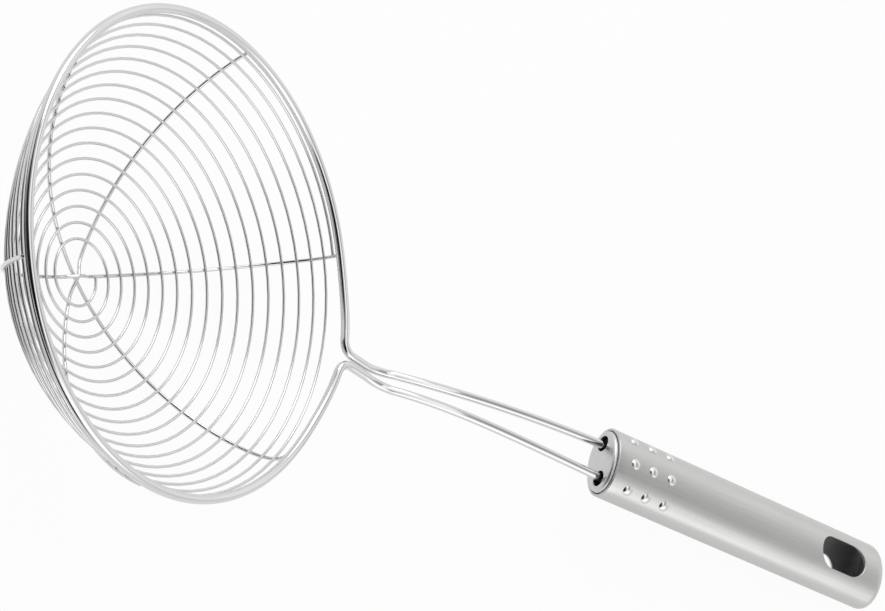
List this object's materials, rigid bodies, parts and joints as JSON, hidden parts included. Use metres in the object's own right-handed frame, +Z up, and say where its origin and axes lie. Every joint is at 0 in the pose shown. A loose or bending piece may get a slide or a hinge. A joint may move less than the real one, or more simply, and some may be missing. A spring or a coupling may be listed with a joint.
{
  "type": "wire skimmer",
  "caption": "Kitchen skimmer: a round bowl of spirally wound steel wire on crossing ribs, held by a bent wire frame in a hollow oval handle with a hanging slot.",
  "frame": {"origin": "centre of the bounding box in X and Y, on the surface that the skimmer lies on", "axes": "+X from the basket to the end of the handle, +Z up from the surface, +Y to the left of the handle"},
  "size_m": [0.3846, 0.1616, 0.101],
  "materials": {
    "frame_wire": "bright drawn stainless wire",
    "spiral_wire": "bright drawn stainless wire",
    "rib_wire": "bright drawn stainless wire",
    "handle_tube": "satin stainless steel brushed along its length",
    "front_cap": "smooth pressed stainless sheet"
  },
  "bodies": {
    "root": {"frame_wire": "frame_wire", "basket_spiral": "spiral_wire", "rib_wire_1": "rib_wire", "rib_wire_2": "rib_wire", "rib_wire_3": "rib_wire", "handle_tube": "handle_tube", "handle_front_cap": "front_cap"}
  },
  "joints": []
}
